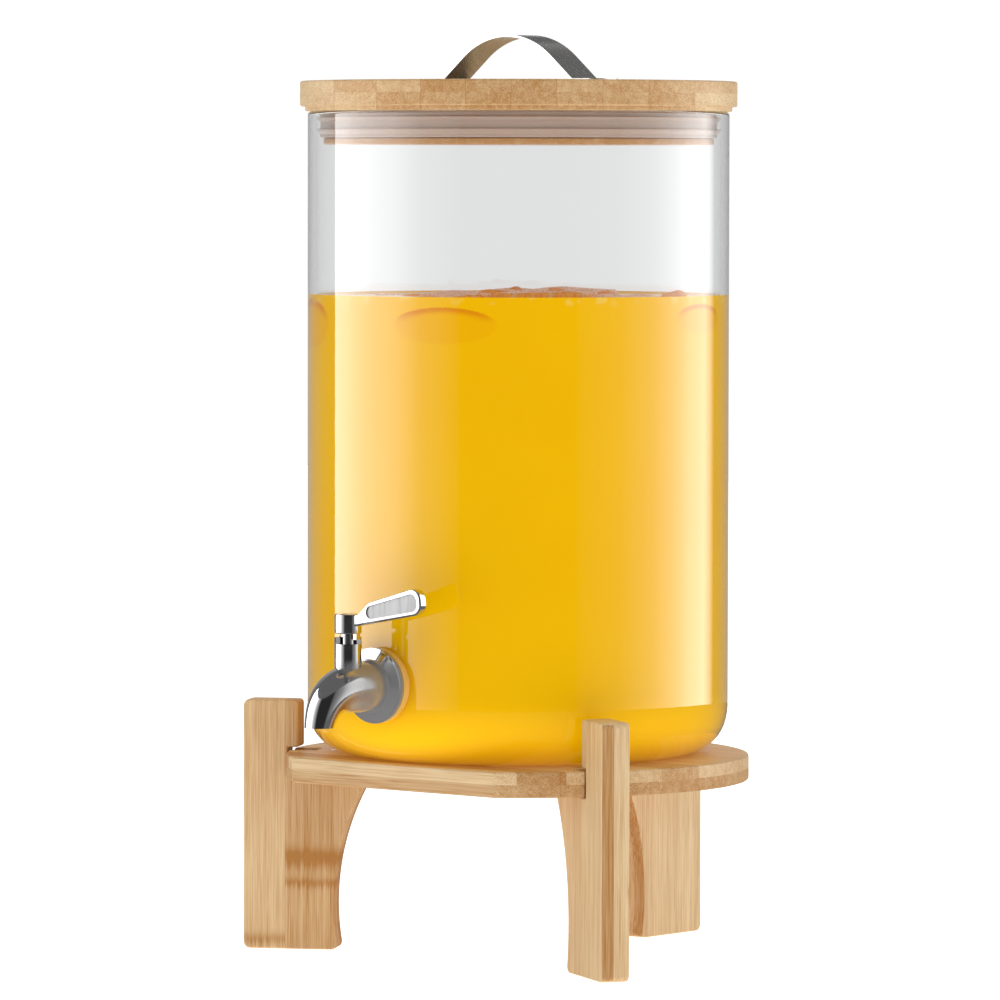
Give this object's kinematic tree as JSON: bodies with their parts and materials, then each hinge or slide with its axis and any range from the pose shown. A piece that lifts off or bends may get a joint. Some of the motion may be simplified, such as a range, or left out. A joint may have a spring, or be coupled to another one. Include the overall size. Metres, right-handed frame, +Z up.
{
  "type": "beverage dispenser",
  "caption": "Countertop cold drink dispenser: straight glass jar with a steel quarter-turn tap, on a three-legged bamboo stand, under a bamboo lid with an arched strap handle.",
  "frame": {"origin": "on the floor under the middle of the closed dispenser's box; the jar's own axis stands 8.44 mm behind it, at y = +0.00844", "axes": "+Z up along the jar's axis, -Y out along the tap towards the user, +X along the closed tap's lever"},
  "size_m": [0.2356, 0.2808, 0.4363],
  "materials": {
    "bamboo": "clear satin oil over laminated bamboo strips",
    "glass": "clear, polished",
    "polished_steel": "polished",
    "plain_steel": "satin",
    "silicone": "translucent white, matt"
  },
  "bodies": {
    "stand": {"platform": "bamboo", "leg_front_right": "bamboo", "leg_front_left": "bamboo", "leg_rear": "bamboo", "leg_screw_front_right": "plain_steel", "leg_screw_front_left": "plain_steel", "leg_screw_rear": "plain_steel"},
    "jar": {"glass_jar": "glass", "tap_body": "polished_steel", "tap_gasket_outer": "silicone", "tap_gasket_inner": "silicone", "tap_washer": "plain_steel", "tap_lock_nut": "polished_steel"},
    "lever": {"tap_lever": "polished_steel", "valve_stem": "polished_steel", "lever_screw": "polished_steel", "stem_o_ring_lower": "silicone", "stem_o_ring_upper": "silicone"},
    "lid": {"lid_disc": "bamboo", "lid_plug": "bamboo", "lid_seal": "silicone", "strap_handle": "plain_steel", "strap_screw_left": "plain_steel", "strap_screw_right": "plain_steel"}
  },
  "joints": [
    {"name": "jar_lift", "type": "slide", "parent": "stand", "child": "jar", "axis": [0, 0, 1], "range_m": [0, 0.06]},
    {"name": "lid_lift", "type": "slide", "parent": "jar", "child": "lid", "axis": [0, 0, 1], "range_m": [0, 0.12]},
    {"name": "lever_turn", "type": "hinge", "parent": "jar", "child": "lever", "pos_m": [0, -0.11356, 0.1676], "axis": [0, 0, -1], "range_deg": [0, 90]}
  ]
}
